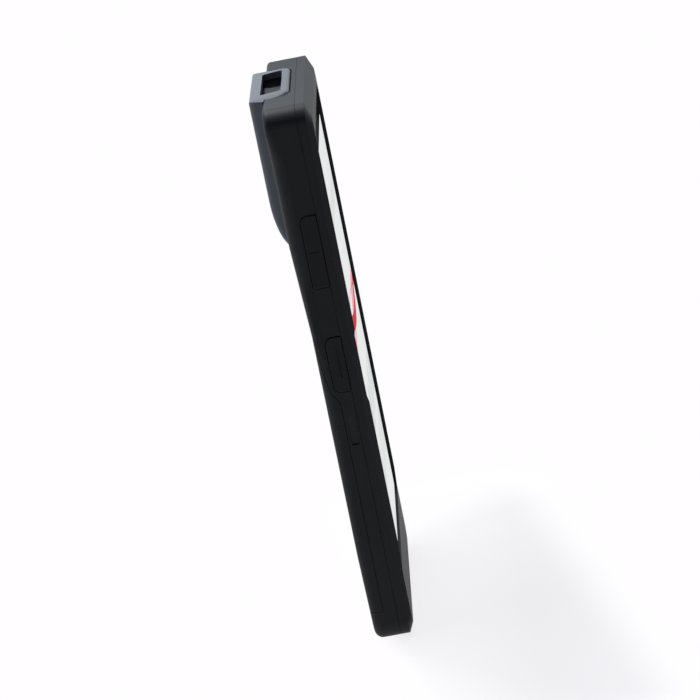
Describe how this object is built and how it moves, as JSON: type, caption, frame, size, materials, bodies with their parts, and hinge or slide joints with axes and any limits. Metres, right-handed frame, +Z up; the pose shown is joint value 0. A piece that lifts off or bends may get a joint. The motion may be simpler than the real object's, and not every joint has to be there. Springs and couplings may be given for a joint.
{
  "type": "portable barcode data terminal",
  "caption": "Slate handheld data terminal: framed touch display, side scan and volume keys, rear scanner head with a window in the top end, wrap-on battery cover.",
  "frame": {"origin": "on the flat bottom end, at the middle of the overall width and depth", "axes": "+Z up the long axis to the scanner end, -Y out of the screen, +Y out of the back, +X to the right of someone facing the screen"},
  "size_m": [0.076, 0.0176, 0.1587],
  "materials": {
    "black_shell": "fine matte moulded polycarbonate, near black",
    "slate_shell": "fine matte moulded polycarbonate, slate grey",
    "key_rubber": "soft matte keytop",
    "seal_rubber": "soft silicone",
    "clear_glass": "toughened glass, polished",
    "display": "lit panel",
    "adhesive": "black bonding tape",
    "stainless_plate": "pressed stainless steel plate, satin",
    "steel": "plated steel",
    "dark_steel": "blackened steel",
    "board_green": "solder mask over laminate",
    "chip_black": "moulded package",
    "flex_amber": "polyimide film",
    "gold": "gold plated",
    "engine_black": "black moulded optics housing",
    "lens_glass": "coated optical glass",
    "diffuser": "clear moulded light pipe",
    "battery_wrap": "printed film wrap",
    "sheet_copper": "etched antenna on film",
    "tape": "clear pull tape",
    "ring_metal": "anodised ring"
  },
  "bodies": {
    "terminal": {"front_housing": "black_shell", "rear_housing": "black_shell", "scanner_cover": "slate_shell", "cover_seal": "seal_rubber", "cover_glass": "clear_glass", "glass_adhesive": "adhesive", "display_panel": "display", "earpiece_mesh": "dark_steel", "earpiece_receiver": "chip_black", "front_camera": "engine_black", "chassis_plate": "stainless_plate", "chassis_screws": "steel", "board_screws": "steel", "housing_screws": "dark_steel", "head_screws": "dark_steel", "main_board": "board_green", "shield_cans": "steel", "board_chips": "chip_black", "card_socket": "steel", "bottom_board": "board_green", "usb_port_shell": "steel", "usb_tongue": "chip_black", "speaker": "chip_black", "speaker_mesh": "dark_steel", "vibration_motor": "steel", "microphone": "steel", "charging_contacts": "gold", "board_flex": "flex_amber", "left_key_board": "board_green", "right_key_board": "board_green", "switch_domes": "steel", "window_gasket": "seal_rubber", "scan_window": "clear_glass", "scan_engine": "engine_black", "engine_lens": "lens_glass", "engine_lights": "diffuser", "engine_bracket": "steel", "engine_flex": "flex_amber", "camera_module": "engine_black", "camera_ring": "ring_metal", "camera_window": "lens_glass", "flash_light_pipe": "diffuser", "flash_led": "chip_black", "battery_connector": "chip_black", "battery_springs": "gold"},
    "cover": {"battery_cover": "black_shell"},
    "battery": {"battery_pack": "battery_wrap", "battery_pads": "gold", "antenna_sheet": "sheet_copper", "battery_pull_tab": "tape"},
    "volume_rocker": {"volume_key": "key_rubber"},
    "left_scan_button": {"left_scan_key": "key_rubber"},
    "right_scan_button": {"right_scan_key": "key_rubber"},
    "power_button": {"power_key": "key_rubber"}
  },
  "joints": [
    {"name": "cover_lift", "type": "slide", "parent": "terminal", "child": "cover", "axis": [0, 1, 0], "range_m": [0, 0.016]},
    {"name": "battery_lift", "type": "slide", "parent": "terminal", "child": "battery", "axis": [0, 1, 0], "range_m": [0, 0.008]},
    {"name": "volume_rock", "type": "hinge", "parent": "terminal", "child": "volume_rocker", "pos_m": [-0.0352, -0.00222, 0.1173], "axis": [0, 1, 0], "range_deg": [-1.8, 1.8], "stiffness_Nm_per_rad": 0.25},
    {"name": "left_scan_press", "type": "slide", "parent": "terminal", "child": "left_scan_button", "axis": [1, 0, 0], "range_m": [0, 0.00035], "stiffness_N_per_m": 4000},
    {"name": "right_scan_press", "type": "slide", "parent": "terminal", "child": "right_scan_button", "axis": [-1, 0, 0], "range_m": [0, 0.00035], "stiffness_N_per_m": 4000},
    {"name": "power_press", "type": "slide", "parent": "terminal", "child": "power_button", "axis": [-1, 0, 0], "range_m": [0, 0.00035], "stiffness_N_per_m": 4000}
  ],
  "couplings": [
    {"joint": "battery_lift", "follows": "cover_lift", "ratio": 0.5}
  ]
}
